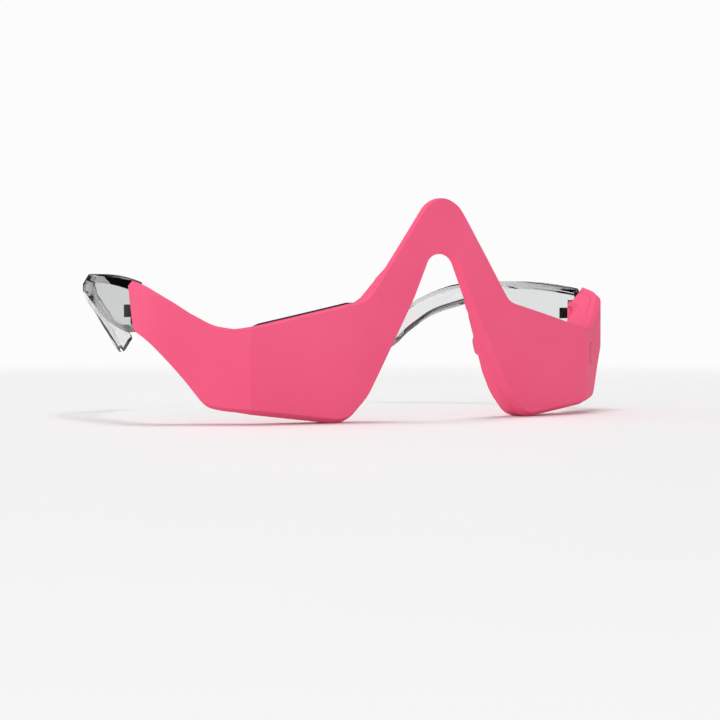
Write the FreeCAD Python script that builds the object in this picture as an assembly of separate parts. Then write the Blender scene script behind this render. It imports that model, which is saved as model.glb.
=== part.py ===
"""Under-eye light device worn like spectacles, as separate pieces. Millimetres, +Z up, front towards -Y."""
import FreeCAD, Part
import math
import os

# Front frame: the plan is one wide arc across the nose, then a crease and a flat wing facet
front_radius = 225.0
fold_half_width = 55.1
wing_angle = 38.9
wing_facet = 22.8
wing_bend_radius = 9.0
wing_end_splay = 8.0
wing_tail = 5.4
wing_overrun = 4.0
wing_first_step = 3.6
wing_step_count = 19

# Front outline, seen from the front
apex_height = 60.0
apex_radius = 8.0
leg_outer_lean = 35.2
eye_corner_radius = 7.0
rim_height_at_fold = 25.5
rim_slope = 12.8
arch_height = 45.2
arch_upper_lean = 24.0
arch_bend_height = 33.0
arch_bend_half_width = 8.4
arch_bend_radius = 30.0
leg_inner_lean = 28.5
lobe_cut_top = 7.7
lobe_cut_angle = 46.0
lobe_upper_radius = 16.0
lobe_lower_radius = 8.0
bottom_height_at_fold = 3.75
bottom_slope = 6.9

# Wing edges: distance behind the crease, bottom height, top height
wing_heights = (
    (4.8, 4.25, 25.4),
    (8.9, 4.85, 26.05),
    (11.2, 5.6, 26.9),
    (13.2, 7.4, 28.0),
    (15.7, 10.5, 29.3),
    (18.3, 13.6, 31.0),
    (21.6, 17.2, 33.0),
    (24.4, 19.9, 34.5),
    (28.2, 22.5, 36.1),
    (35.0, 25.2, 37.8),
    (40.0, 26.6, 38.9),
)
wing_end_top = 37.3
wing_end_inner_drop = 0.9
wing_end_rake = 0.2

# Walls and depths, measured inwards from the front surface
upper_edge_inset = 0.45
upper_edge_depth = 1.0
wing_upper_inset = 1.4
wing_upper_depth = 1.4
lower_edge_inset = 1.2
lower_edge_depth = 2.1
wing_lower_inset = 0.8
wing_lower_depth = 1.0
wing_lower_run = 9.0
arch_upper_bevel = 1.4
arch_lower_bevel = 0.8
arch_bevel_slant = 3.0
shell_depth = 3.0
front_wall = 1.7
panel_depth = 8.5
wing_end_depth = 6.0
wing_taper_start = 16.0
cover_wall = 1.4
side_wall = 2.0
cover_rim_drop = 0.6
nose_ramp_depth = 4.6
nose_ramp_outward = 0.3
nose_ramp_upward = -0.144
cover_top_inner = 29.0
cover_top_rise = 6.6
cover_top_edge = 0.3
cover_top_slope = 3.0
trim_thickness = 0.6
trim_proud = 0.35
trim_root = 1.2
trim_start_gap = 2.6
trim_fold_gap = 2.4
trim_end_taper = 1.6
outline_overrun = 6.0
panel_room_inner_inset = 1.0
panel_room_fold_inset = 3.0
panel_room_floor_rise = 2.0
wing_room_start = 2.4
wing_room_end = 18.3
wing_room_steps = 7
tunnel_start = -5.0
tunnel_end = 4.0
tunnel_low = 13.5
tunnel_high = 18.0
tunnel_near = 3.6
tunnel_far = 6.4

# Light window, board and lamps in each panel
panel_middle = 40.8
window_width = 19.0
window_height = 15.0
window_middle_height = 14.6
window_corner = 3.0
window_recess = 0.2
window_flange = 1.0
window_flange_thickness = 0.7
board_thickness = 0.8
lamp_size = 1.9
lamp_height = 0.8
lamp_columns = 5
lamp_rows = 3
lamp_pitch = 3.8
lamp_gap = 0.2
post_radius = 1.3
post_root = 0.3
post_hole_floor = 0.6
board_screw_radius = 0.6
board_screw_head_radius = 1.1
board_screw_head_height = 0.35
board_screw_length = 2.6
board_post_span = 18.5
board_post_rise = 12.4
board_post_edge = 1.25
board_margin = 1.0

# Flat cable over the nose bridge and its cover strip
cable_width = 3.0
cable_thickness = 0.25
strip_thickness = 0.4
strip_margin = 1.0
cable_top = 52.4
cable_bend = (8.6, 44.0)
cable_end = (30.0, 15.0)
strip_share = 0.86

# Electronics in the left wing and the battery in the right wing
wing_board_start = 2.6
wing_board_end = 15.4
wing_board_low = 7.9
wing_board_step = 12.6
wing_board_high = 23.0
wing_board_depth = 5.6
button_along = 9.0
button_height = 18.2
button_radius = 3.0
button_proud = 0.15
button_travel = 0.4
button_flange_radius = 3.6
button_flange_thickness = 0.4
switch_side = 4.2
switch_body_height = 1.7
plunger_radius = 0.9
plunger_grip = 0.4
button_stem_length = 0.5
button_stem_wall = 0.3
chip_start = 3.0
chip_side = 3.0
chip_height = 0.9
chip_lows = (14.0, 19.0)
status_lamp_side = 1.6
status_lamp_height = 0.6
pipe_along = 14.2
pipe_radius = 0.8
socket_along = 6.2
socket_width = 8.94
socket_thickness = 3.16
socket_length = 7.3
socket_wall = 0.3
socket_overhang = 2.4
socket_round_share = 0.45
tongue_width = 6.7
tongue_thickness = 0.7
tongue_length = 5.2
cell_length = 11.6
cell_height = 10.2
cell_thickness = 3.2
cell_start = 3.4
cell_low = 12.6
cell_round_share = 0.3
pad_thickness = 0.6
pad_inset_share = 0.4
lead_radius = 0.4
lead_rises = (1.2, 2.9)
lead_reach = 3.0

# Nose pads
pad_length = 6.4
pad_width = 4.0
pad_height = 1.4
pad_round = 0.6
pad_below_cover_top = 8.0
pad_inset = 0.4
pad_corner_share = 0.48

# Arms: plan, edge heights and section
arm_root_x = 75.2
arm_lean = 4.2
arm_straight = 29.0
arm_hook_radius = 45.6
arm_thickness = 3.2
arm_bevel_depth = 1.4
arm_bevel_height = 2.4
arm_inner_bevel_depth = 0.8
arm_inner_bevel_height = 1.6
arm_lower_bevel_depth = 1.2
arm_lower_bevel_height = 2.0
arm_inner_lower_bevel = 0.7
arm_overrun = 4.0
arm_step_count = 30
arm_tip_along = 77.0
arm_tip_height = 20.3
arm_tip_slant = 44.0
# Arm edges: distance behind the root, bottom height, top height
arm_heights = (
    (-4.0, 24.6, 36.6),
    (0.0, 24.5, 37.4),
    (6.5, 24.4, 38.4),
    (12.0, 25.2, 39.1),
    (18.3, 26.6, 39.7),
    (26.3, 29.0, 40.1),
    (33.0, 31.8, 40.3),
    (38.5, 33.5, 40.4),
    (44.0, 33.7, 40.2),
    (48.0, 33.2, 39.9),
    (52.0, 32.2, 39.5),
    (56.0, 31.1, 38.5),
    (60.0, 29.7, 37.2),
    (64.0, 27.3, 35.4),
    (68.0, 24.4, 33.2),
    (72.0, 20.9, 30.2),
    (76.0, 17.3, 26.6),
    (82.0, 11.9, 21.2),
)

# Hinges at the wing ends: two lugs of the cover, a knuckle between them on a dark leaf in the arm
hinge_gap = 0.3
pin_radius = 0.6
pin_clearance = 0.05
barrel_radius = 1.5
barrel_reach = 0.8
barrel_inset = 3.0
knuckle_low = 28.4
knuckle_high = 31.6
knuckle_gap = 0.2
lug_height = 1.4
lug_depth_into_wing = 3.0
lug_box_share = 0.4
pocket_gap = 0.3
leaf_skin = 0.7
leaf_thickness = 1.2
leaf_start = -0.5
leaf_end = 6.8
pin_head_radius = 1.1
pin_head_height = 0.4

# Clearances
fit_gap = 0.1
slide_gap = 0.15
seat_gap = 0.05

# Cutting tools are this much longer than what they cut; faces this close are joined
beyond = 2.0
join_tolerance = 0.001
up = FreeCAD.Vector(0, 0, 1)
tall = 90.0


def vec(x, y, z):
    return FreeCAD.Vector(x, y, z)


def tan_deg(angle):
    return math.tan(math.radians(angle))


def mirrored(shape):
    """The same piece on the other side of the nose."""
    return shape.mirror(vec(0, 0, 0), vec(1, 0, 0))


def rounded_face(corners):
    """Flat face in the XZ plane from corners given as x, z and rounding radius."""
    points = [vec(x, 0, z) for x, z, r in corners]
    radii = [r for x, z, r in corners]
    starts = []
    ends = []
    middles = []
    for index, point in enumerate(points):
        before = (points[index - 1] - point).normalize()
        after = (points[(index + 1) % len(points)] - point).normalize()
        half_angle = before.getAngle(after) / 2
        reach = radii[index] / math.tan(half_angle)
        bisector = (before + after).normalize()
        centre = point + bisector * (radii[index] / math.sin(half_angle))
        starts.append(point + before * reach)
        ends.append(point + after * reach)
        middles.append(centre - bisector * radii[index])
    edges = []
    for index in range(len(points)):
        if radii[index] > 0:
            edges.append(Part.Arc(starts[index], middles[index], ends[index]).toShape())
        edges.append(Part.LineSegment(ends[index], starts[(index + 1) % len(points)]).toShape())
    return Part.Face(Part.Wire(edges))


def prism_along_y(corners, low, high):
    """Outline of the front view pushed through from one depth to another."""
    face = rounded_face(corners)
    face.translate(vec(0, low, 0))
    return face.extrude(vec(0, high - low, 0))


def behind_front(depth):
    """Everything at least this far behind the front surface."""
    return Part.makeCylinder(front_radius - depth, 2 * tall, vec(0, front_radius, -tall / 2))


def layer(corners, near, far):
    """Outline cut to the layer between two depths behind the front surface."""
    block = prism_along_y(corners, -tall / 4, tall / 4)
    return block.common(behind_front(near)).cut(behind_front(far))


def half_space(point, outward):
    """Large block that ends at the point, on the side away from the outward direction."""
    block = Part.makeBox(4 * tall, 4 * tall, 4 * tall, vec(-2 * tall, -2 * tall, -4 * tall))
    block.Placement = FreeCAD.Placement(point, FreeCAD.Rotation(up, outward))
    return block


def front_y(x):
    """Depth of the front surface at a distance from the nose line."""
    return front_radius - math.sqrt(front_radius ** 2 - x ** 2)


def box_in(place, low, high):
    """Box between two corners of a local frame."""
    size = high - low
    block = Part.makeBox(size.x, size.y, size.z, low)
    block.Placement = place
    return block


def rod_in(place, base, direction, radius, length):
    """Cylinder standing on a point of a local frame."""
    rod = Part.makeCylinder(radius, length, base, direction)
    rod.Placement = place
    return rod


def loft_through(sections):
    """Smooth closed body through sections with the same number of corners."""
    wires = [Part.makePolygon(list(points) + [points[0]]) for points in sections]
    return Part.makeLoft(wires, True, False)


def edge_height(rows, column, distance):
    """Height read off a table as a smooth curve that never swings past its rows."""
    steps = [after[0] - before[0] for before, after in zip(rows, rows[1:])]
    rises = [after[column] - before[column] for before, after in zip(rows, rows[1:])]
    slopes = [rise / step for rise, step in zip(rises, steps)]
    tangents = [slopes[0]]
    for before, after in zip(slopes, slopes[1:]):
        tangents.append(2 * before * after / (before + after) if before * after > 0 else 0)
    tangents.append(slopes[-1])
    index = 0
    while index < len(steps) - 1 and distance > rows[index + 1][0]:
        index += 1
    share = (distance - rows[index][0]) / steps[index]
    rest = 1 - share
    level = rows[index][column] * (1 + 2 * share) * rest ** 2
    level += rows[index + 1][column] * (1 + 2 * rest) * share ** 2
    bend = tangents[index] * share * rest ** 2 - tangents[index + 1] * rest * share ** 2
    return level + steps[index] * bend


def even_stations(rows, start, end, count):
    """Evenly spaced distances with the bottom and top heights read off a table."""
    stations = []
    for index in range(count):
        distance = start + (end - start) * index / (count - 1)
        stations.append((distance, edge_height(rows, 1, distance), edge_height(rows, 2, distance)))
    return stations


# Front outline corners, worked out from the leaning lines of the legs and the slopes of rim and bottom
def rim_height(x, drop):
    return rim_height_at_fold - drop + (fold_half_width - x) * tan_deg(rim_slope)


def bottom_height(x):
    return bottom_height_at_fold - (fold_half_width - x) * tan_deg(bottom_slope)


apex_vertex = apex_height - apex_radius + apex_radius / math.sin(math.radians(leg_outer_lean))
arch_vertex = arch_bend_height + arch_bend_half_width / tan_deg(arch_upper_lean)
arch_radius = (arch_vertex - arch_height) / (1 / math.sin(math.radians(arch_upper_lean)) - 1)


def eye_corner(drop):
    """Where the outer edge of the leg meets the eye rim."""
    lean = tan_deg(leg_outer_lean)
    slope = tan_deg(rim_slope)
    x = (apex_vertex - rim_height(0, drop)) * lean / (1 - slope * lean)
    return x, rim_height(x, drop)


def leg_inner_x(z):
    return arch_bend_half_width + (arch_bend_height - z) * tan_deg(leg_inner_lean)


def leg_outer_x(z):
    return (apex_vertex - z) * tan_deg(leg_outer_lean)


lobe_upper = (leg_inner_x(lobe_cut_top), lobe_cut_top)
lobe_slope = tan_deg(lobe_cut_angle)
lobe_lower_x = lobe_upper[0] + (lobe_cut_top - bottom_height(lobe_upper[0])) / (
    lobe_slope + tan_deg(bottom_slope))
lobe_lower = (lobe_lower_x, bottom_height(lobe_lower_x))
outline_end = fold_half_width + outline_overrun


def half_outline(drop):
    """Corners of one side of the front outline, from the eye corner round to the inside of the leg."""
    eye_x, eye_z = eye_corner(drop)
    return [
        (eye_x, eye_z, eye_corner_radius),
        (outline_end, rim_height(outline_end, drop), 0),
        (outline_end, bottom_height(outline_end), 0),
        (lobe_lower[0], lobe_lower[1], lobe_lower_radius),
        (lobe_upper[0], lobe_upper[1], lobe_upper_radius),
    ]


def half_arch():
    """The bend between the leg and the steeper side of the arch."""
    return [(arch_bend_half_width, arch_bend_height, arch_bend_radius)]


def front_outline():
    """Closed outline of the whole front frame, both sides of the nose."""
    left_half = half_outline(0) + half_arch()
    right_half = [(-x, z, r) for x, z, r in reversed(left_half)]
    return [(0, apex_vertex, apex_radius)] + left_half + [(0, arch_vertex, arch_radius)] + right_half


# The mitre plane at the crease between panel and wing
fold_angle = math.degrees(math.asin(fold_half_width / front_radius))
fold_point = vec(fold_half_width, front_y(fold_half_width), 0)
mitre_angle = math.radians((fold_angle + wing_angle) / 2)
mitre_outward = vec(math.cos(mitre_angle), math.sin(mitre_angle), 0)
mitre_inward = vec(-math.sin(mitre_angle), math.cos(mitre_angle), 0)


def wing_station(distance):
    """Point on the outer plan line of the wing and the inward direction there."""
    angle = math.radians(wing_angle)
    along = vec(math.cos(angle), math.sin(angle), 0)
    inward = vec(-math.sin(angle), math.cos(angle), 0)
    if distance <= wing_facet:
        return fold_point + along * distance, inward
    bend_start = fold_point + along * wing_facet
    centre = bend_start + inward * wing_bend_radius
    turn = min((distance - wing_facet) / wing_bend_radius, wing_bend_turn)
    inward = vec(-math.sin(angle + turn), math.cos(angle + turn), 0)
    along = vec(math.cos(angle + turn), math.sin(angle + turn), 0)
    rest = max(distance - wing_facet - wing_bend_radius * wing_bend_turn, 0)
    return centre - inward * wing_bend_radius + along * rest, inward


wing_bend_turn = math.radians(90 - wing_end_splay - wing_angle)
wing_length = wing_facet + wing_bend_radius * wing_bend_turn + wing_tail
wing_end_point = wing_station(wing_length)[0]


wing_rows = ((0, bottom_height_at_fold, rim_height_at_fold),) + wing_heights
wing_end_outward = vec(0, 1, -wing_end_rake).normalize()


def before_wing_end():
    """Everything in front of the raked end of the wings."""
    return half_space(vec(0, wing_end_point.y, wing_end_top), wing_end_outward)


def behind_arm_root():
    """Everything behind the raked front end of the arms."""
    return half_space(vec(0, wing_end_point.y + hinge_gap, wing_end_top), wing_end_outward * -1)


def wing_depth(distance):
    """Full thickness of the wing, thinner towards its end."""
    share = max(distance - wing_taper_start, 0) / (wing_length - wing_taper_start)
    return panel_depth + (wing_end_depth - panel_depth) * share


def inner_drop(distance, depth):
    """How far the top face falls towards the skin side, more towards the wing end."""
    return wing_end_inner_drop * (distance / wing_length) ** 2 * max(depth - wing_upper_depth, 0)


def wing_section(distance, profile):
    """Section of the wing from depth and height pairs."""
    point, inward = wing_station(distance)
    return [point + inward * depth + up * height for depth, height in profile]


def end_corners(body):
    """Corners of the flat face that the mitre plane leaves on a body."""
    for face in body.Faces:
        middle = face.CenterOfMass
        off_plane = (middle - vec(fold_point.x, fold_point.y, middle.z)).dot(mitre_outward)
        flat = abs(off_plane) < join_tolerance
        if flat and face.normalAt(0, 0).dot(mitre_outward) > 0.999:
            return [vertex.Point for vertex in face.OuterWire.OrderedVertexes]
    raise ValueError("no face lies on the crease")


def by_depth(points):
    """Corners in pairs from the front inwards, the lower one of each pair first."""
    ordered = sorted(points, key=lambda p: (p - fold_point).dot(mitre_inward))
    pairs = [sorted(ordered[i:i + 2], key=lambda p: p.z) for i in range(0, len(ordered), 2)]
    return [point for pair in pairs for point in pair]


def between(start, end, share):
    """Value part of the way from one to another, no further than the end."""
    return start + (end - start) * min(share, 1)


def front_profile(distance, low, high):
    drop = inner_drop(distance, shell_depth)
    upper_inset = between(upper_edge_inset, wing_upper_inset, distance / wing_length)
    upper_depth = between(upper_edge_depth, wing_upper_depth, distance / wing_length)
    lower_inset = between(lower_edge_inset, wing_lower_inset, distance / wing_lower_run)
    lower_depth = between(lower_edge_depth, wing_lower_depth, distance / wing_lower_run)
    return [(0, low + lower_inset), (0, high - upper_inset), (upper_depth, high),
            (shell_depth, high - drop), (shell_depth, low), (lower_depth, low)]


def cover_profile(distance, low, high):
    depth = wing_depth(distance)
    high -= cover_rim_drop * max(1 - distance / wing_facet, 0)
    front = shell_depth + seat_gap
    return [(front, low), (front, high - inner_drop(distance, front)),
            (depth, high - inner_drop(distance, depth)), (depth, low)]


def wing_body(first, profile):
    """Wing part behind the crease, joined to the corners of the panel's end face."""
    sections = []
    reach = wing_length + wing_overrun
    for distance, low, high in even_stations(wing_rows, wing_first_step, reach, wing_step_count):
        sections.append(wing_section(distance, profile(distance, low, high)))
    facet = loft_through([first, sections[0]])
    rest = loft_through(sections).common(before_wing_end())
    return facet.fuse([rest], join_tolerance).removeSplitter().Solids[0]


# Local frames: the middle of the panel and the wing facet, x along, y inwards, z up
panel_angle = math.degrees(math.asin(panel_middle / front_radius))
panel_point = vec(panel_middle, front_y(panel_middle), 0)
panel_frame = FreeCAD.Placement(panel_point, FreeCAD.Rotation(up, panel_angle))
wing_frame = FreeCAD.Placement(fold_point, FreeCAD.Rotation(up, wing_angle))


def panel_back(depth):
    """Everything in front of the panel's flat back plane."""
    inward = panel_frame.Rotation.multVec(vec(0, 1, 0))
    return half_space(panel_frame.multVec(vec(0, depth, 0)), inward)


def nose_ramp(depth_less):
    """Everything in front of the sloping face beside the nose."""
    outward = vec(-nose_ramp_outward, 1, -nose_ramp_upward).normalize()
    return half_space(vec(0, nose_ramp_depth - depth_less, 0), outward)


def panel_cavity():
    """Room for the lamps inside one panel."""
    inner = lobe_lower[0] - panel_room_inner_inset
    outer = fold_half_width - panel_room_fold_inset
    corners = [
        (inner, bottom_height(inner) + side_wall + panel_room_floor_rise, 0),
        (outer, bottom_height(outer) + side_wall, 0),
        (outer, rim_height(outer, 0) - side_wall, 0),
        (inner, rim_height(inner, 0) - side_wall, 0),
    ]
    block = prism_along_y(corners, -tall / 4, tall / 4).common(behind_front(front_wall))
    return block.common(panel_back(panel_depth - cover_wall)).common(nose_ramp(cover_wall))


def wing_cavity():
    """Room for the electronics inside one wing."""
    sections = []
    for distance, low, high in even_stations(wing_rows, wing_room_start, wing_room_end, wing_room_steps):
        back = wing_depth(distance) - cover_wall
        edge = side_wall + inner_drop(distance, back)
        profile = [(front_wall, low + side_wall), (front_wall, high - edge),
                   (back, high - edge), (back, low + side_wall)]
        sections.append(wing_section(distance, profile))
    return loft_through(sections)


def window_plate(width, height, corner, low, high):
    """Rounded plate in the panel frame between two depths."""
    half = width / 2
    bottom = window_middle_height - height / 2
    top = window_middle_height + height / 2
    plate = prism_along_y([(-half, bottom, corner), (half, bottom, corner),
                           (half, top, corner), (-half, top, corner)], low, high)
    plate.Placement = panel_frame
    return plate


# Depths of the stack in the panel, from the window forwards
cover_inside = panel_depth - cover_wall
window_inner = cover_inside - window_flange_thickness
lamp_top = window_inner - lamp_gap
board_back = lamp_top - lamp_height
board_front = board_back - board_thickness
post_places = [(side * board_post_span / 2, window_middle_height + side * board_post_rise / 2)
               for side in (-1, 1)]

# Hinge and arm places at the left wing end
arm_root = vec(arm_root_x, wing_end_point.y + hinge_gap, 0)
arm_frame = FreeCAD.Placement(arm_root, FreeCAD.Rotation(up, arm_lean))
hinge_point = arm_frame.multVec(vec(-barrel_inset, barrel_reach, 0))
lug_lows = (knuckle_low - knuckle_gap - lug_height, knuckle_high + knuckle_gap)
hinge_low = lug_lows[0]
hinge_high = lug_lows[1] + lug_height
leaf_low = vec(-leaf_skin - leaf_thickness, leaf_start, knuckle_low)
leaf_high = vec(-leaf_skin, leaf_end, knuckle_high)
leaf_room = vec(seat_gap, seat_gap, seat_gap)


def strip_corners(points, width):
    """Outline of a flat strip of this width along points, with no rounding."""
    left = []
    right = []
    for index, (x, z) in enumerate(points):
        here = vec(x, 0, z)
        before = vec(points[max(index - 1, 0)][0], 0, points[max(index - 1, 0)][1])
        last = min(index + 1, len(points) - 1)
        after = vec(points[last][0], 0, points[last][1])
        arrive = here - before if index > 0 else after - here
        leave = after - here if index < len(points) - 1 else arrive
        along = (arrive.normalize() + leave.normalize()).normalize()
        across = vec(-along.z, 0, along.x)
        stretch = width / 2 / across.dot(vec(-leave.z, 0, leave.x))
        left.append((x + across.x * stretch, z + across.z * stretch, 0))
        right.append((x - across.x * stretch, z - across.z * stretch, 0))
    return left + right[::-1]


def cable_line(share):
    """Middle line of the cable over the bridge, with its ends at a share of their length."""
    end_x = cable_bend[0] + (cable_end[0] - cable_bend[0]) * share
    end_z = cable_bend[1] + (cable_end[1] - cable_bend[1]) * share
    side = [(end_x, end_z), cable_bend]
    return side + [(0, cable_top)] + [(-x, z) for x, z in reversed(side)]


strip_width = cable_width + 2 * strip_margin
cable_near = shell_depth - strip_thickness - seat_gap - cable_thickness


def edges_at_depth(plate, depth, upper):
    """Edges of the plate's outline at one depth: apex, legs and eye rims, or else arch and bottom."""
    found = []
    for edge in plate.Edges:
        middle = edge.valueAt((edge.FirstParameter + edge.LastParameter) / 2)
        from_axis = math.hypot(middle.x, middle.y - front_radius)
        on_face = abs(from_axis - front_radius + depth) < join_tolerance
        leg_middle = (leg_outer_x(middle.z) + leg_inner_x(middle.z)) / 2
        above = middle.z > window_middle_height and abs(middle.x) > leg_middle
        if on_face and above == upper and abs(middle.x) < outline_end - fit_gap:
            found.append(edge)
    return found


def above_covers():
    """The arch and the tops of the legs, with a slant below that lets the rear bevels start gently."""
    inner, top = cover_top_ends()
    rise = (top.z - inner.z) / (top.x - inner.x)
    edge_z = inner.z + (tall - inner.x) * rise
    right = [(-tall, 2 * tall, 0), (-tall, edge_z, 0), (-inner.x, inner.z, 0)]
    left = [(inner.x, inner.z, 0), (tall, edge_z, 0), (tall, 2 * tall, 0)]
    slant = vec(0, 1, -arch_bevel_slant)
    region = rounded_face(right + left)
    region.translate(vec(0, front_y(top.x) + shell_depth, 0) - slant * (tall / 4))
    return region.extrude(slant * (tall / 2))


def front_plate():
    """Chamfered plate over the nose, cut at both creases."""
    plate = layer(front_outline(), 0, shell_depth)
    plate = plate.makeChamfer(lower_edge_inset, lower_edge_depth, edges_at_depth(plate, 0, False))
    plate = plate.makeChamfer(upper_edge_inset, upper_edge_depth, edges_at_depth(plate, 0, True))
    arch = plate.makeChamfer(arch_lower_bevel, edges_at_depth(plate, shell_depth, False))
    arch = arch.makeChamfer(arch_upper_bevel, edges_at_depth(arch, shell_depth, True))
    left_cut = half_space(fold_point, mitre_outward)
    plate = plate.common(left_cut).common(mirrored(left_cut))
    region = above_covers()
    return plate.cut(region).fuse(arch.common(region)).Solids[0]


def board_posts():
    """Posts on the front wall that carry the left light board, with holes for its screws."""
    posts = []
    for x, z in post_places:
        base = vec(x, front_wall - post_root, z)
        floor = base + vec(0, post_hole_floor, 0)
        post = rod_in(panel_frame, base, vec(0, 1, 0), post_radius, board_front - base.y)
        hole = rod_in(panel_frame, floor, vec(0, 1, 0), board_screw_radius + seat_gap, tall)
        posts.append(post.cut(hole))
    return posts


def cover_top_ends():
    """Ends of the cover's top edge on the leg, first on the nose side."""
    top_z = eye_corner(cover_rim_drop)[1] + cover_top_rise
    return vec(leg_inner_x(cover_top_inner), 0, cover_top_inner), vec(leg_outer_x(top_z), 0, top_z)


socket_low = wing_board_low - socket_overhang
socket_top = socket_low + socket_length


def socket_opening():
    """Opening for the charging socket through the lower edge of the left wing."""
    low = vec(socket_along - socket_width / 2 - fit_gap, wing_board_depth - socket_thickness - fit_gap, 0)
    high = vec(socket_along + socket_width / 2 + fit_gap, wing_board_depth + fit_gap, socket_top + fit_gap)
    return box_in(wing_frame, low, high)


def front_shell():
    """Pink front frame: the plate over the nose with a hollow wing behind each crease."""
    plate = front_plate()
    first = by_depth(end_corners(plate))
    order = [first[0], first[1], first[3], first[5], first[4], first[2]]
    wing = wing_body(order, front_profile)
    body = plate.fuse([wing, mirrored(wing)], join_tolerance)
    hollow = [panel_cavity(), wing_cavity()]
    body = body.cut(hollow + [mirrored(shape) for shape in hollow])
    posts = board_posts()
    body = body.fuse(posts + [mirrored(post) for post in posts])
    groove_width = strip_width + 2 * fit_gap
    groove_line = strip_corners(cable_line(1.0), groove_width)
    groove = layer(groove_line, cable_near - seat_gap, shell_depth + beyond)
    bore = rod_in(wing_frame, vec(button_along, -beyond, button_height), vec(0, 1, 0),
                  button_radius + slide_gap, front_wall + 2 * beyond)
    pipe_hole = rod_in(wing_frame, vec(pipe_along, -beyond, button_height), vec(0, 1, 0),
                       pipe_radius + seat_gap, front_wall + 2 * beyond)
    return body.cut([groove, bore, pipe_hole, socket_opening()])


def cover_corners():
    """Outline of the left skin-side cover, seen from the front."""
    inner, top = cover_top_ends()
    return half_outline(cover_rim_drop) + [(inner.x, inner.z, 0), (top.x, top.z, 0)]


def below_cover_top():
    """Everything below the slope that thins the cover towards its top on the leg."""
    inner, top = cover_top_ends()
    along = (top - inner).normalize()
    outward = vec(-along.z, 0, along.x) + vec(0, cover_top_slope, 0)
    edge = inner + vec(0, front_y(inner.x) + shell_depth + cover_top_edge, 0)
    return half_space(edge, outward.normalize())


def rim_strip(gap):
    """Strip along the eye rim between front shell and cover, enlarged by a gap where it is let in."""
    start = eye_corner(0)[0] + trim_start_gap
    end = fold_half_width - trim_fold_gap
    corners = [
        (start - gap, rim_height(start, trim_root + gap), 0),
        (end + gap, rim_height(end, trim_root + gap), 0),
        (end + gap, rim_height(end, 0), 0),
        (end - trim_end_taper + gap, rim_height(end - trim_end_taper, -trim_proud), 0),
        (start + trim_end_taper - gap, rim_height(start + trim_end_taper, -trim_proud), 0),
        (start - gap, rim_height(start, 0), 0),
    ]
    near = shell_depth + seat_gap
    return layer(corners, near - gap, near + trim_thickness + gap)


def inner_cover():
    """Pink skin-side cover of the left panel and wing, with the hinge lugs at its end."""
    block = prism_along_y(cover_corners(), -tall / 4, tall / 4)
    block = block.common(behind_front(shell_depth + seat_gap))
    block = block.common(panel_back(panel_depth)).common(nose_ramp(0)).common(below_cover_top())
    block = block.common(half_space(fold_point, mitre_outward)).Solids[0]
    first = by_depth(end_corners(block))
    order = [first[0], first[1], first[3], first[2]]
    body = block.fuse([wing_body(order, cover_profile)], join_tolerance).removeSplitter()
    lugs = []
    for base in lug_lows:
        low = vec(hinge_point.x - barrel_radius, wing_end_point.y - lug_depth_into_wing, base)
        high = vec(hinge_point.x + barrel_radius * lug_box_share, hinge_point.y, base + lug_height)
        lugs.append(box_in(FreeCAD.Placement(), low, high))
        lugs.append(Part.makeCylinder(barrel_radius, lug_height, hinge_point + up * base))
    body = body.fuse(lugs).removeSplitter()
    pin_hole = Part.makeCylinder(pin_radius + pin_clearance, tall, hinge_point)
    tunnel = box_in(wing_frame, vec(tunnel_start, tunnel_near, tunnel_low),
                    vec(tunnel_end, tunnel_far, tunnel_high))
    opening = window_plate(window_width + 2 * fit_gap, window_height + 2 * fit_gap,
                           window_corner + fit_gap, 0, panel_depth + beyond)
    return body.cut([panel_cavity(), wing_cavity(), pin_hole, tunnel, opening, rim_strip(seat_gap)])


def light_window():
    """Clear window with a flange that seats inside the cover's opening."""
    pane = window_plate(window_width, window_height, window_corner,
                        window_inner, panel_depth - window_recess)
    flange = window_plate(window_width + 2 * window_flange, window_height + 2 * window_flange,
                          window_corner + window_flange, window_inner, cover_inside - seat_gap)
    return pane.fuse(flange).removeSplitter()


def light_board():
    """Board of the red lamps, screwed to the posts of the front shell."""
    half = board_post_span / 2 + board_post_edge
    low = window_middle_height - window_height / 2 - board_margin
    high = window_middle_height + window_height / 2 + board_margin
    board = box_in(panel_frame, vec(-half, board_front, low), vec(half, board_back, high))
    holes = [rod_in(panel_frame, vec(x, board_front - beyond, z), vec(0, 1, 0),
                    board_screw_radius + fit_gap, board_thickness + 2 * beyond) for x, z in post_places]
    return board.cut(holes)


def lamps():
    """Red lamps in rows on the skin side of the board."""
    pieces = []
    for column in range(lamp_columns):
        for row in range(lamp_rows):
            x = (column - (lamp_columns - 1) / 2) * lamp_pitch - lamp_size / 2
            z = window_middle_height + (row - (lamp_rows - 1) / 2) * lamp_pitch - lamp_size / 2
            pieces.append(box_in(panel_frame, vec(x, board_back, z),
                                 vec(x + lamp_size, lamp_top, z + lamp_size)))
    return Part.makeCompound(pieces)


def board_screws():
    """Screws that hold one light board to its posts."""
    pieces = []
    for x, z in post_places:
        shank = rod_in(panel_frame, vec(x, board_back - board_screw_length, z), vec(0, 1, 0),
                       board_screw_radius, board_screw_length)
        head = rod_in(panel_frame, vec(x, board_back, z), vec(0, 1, 0),
                      board_screw_head_radius, board_screw_head_height)
        pieces.append(shank.fuse(head).removeSplitter())
    return Part.makeCompound(pieces)


def bridge_cable():
    """Flat cable in the groove over the nose bridge."""
    return layer(strip_corners(cable_line(1.0), cable_width), cable_near, cable_near + cable_thickness)


def bridge_strip():
    """Thin strip that closes the groove, flush with the back of the frame."""
    corners = strip_corners(cable_line(strip_share), strip_width)
    return layer(corners, shell_depth - strip_thickness, shell_depth)


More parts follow.
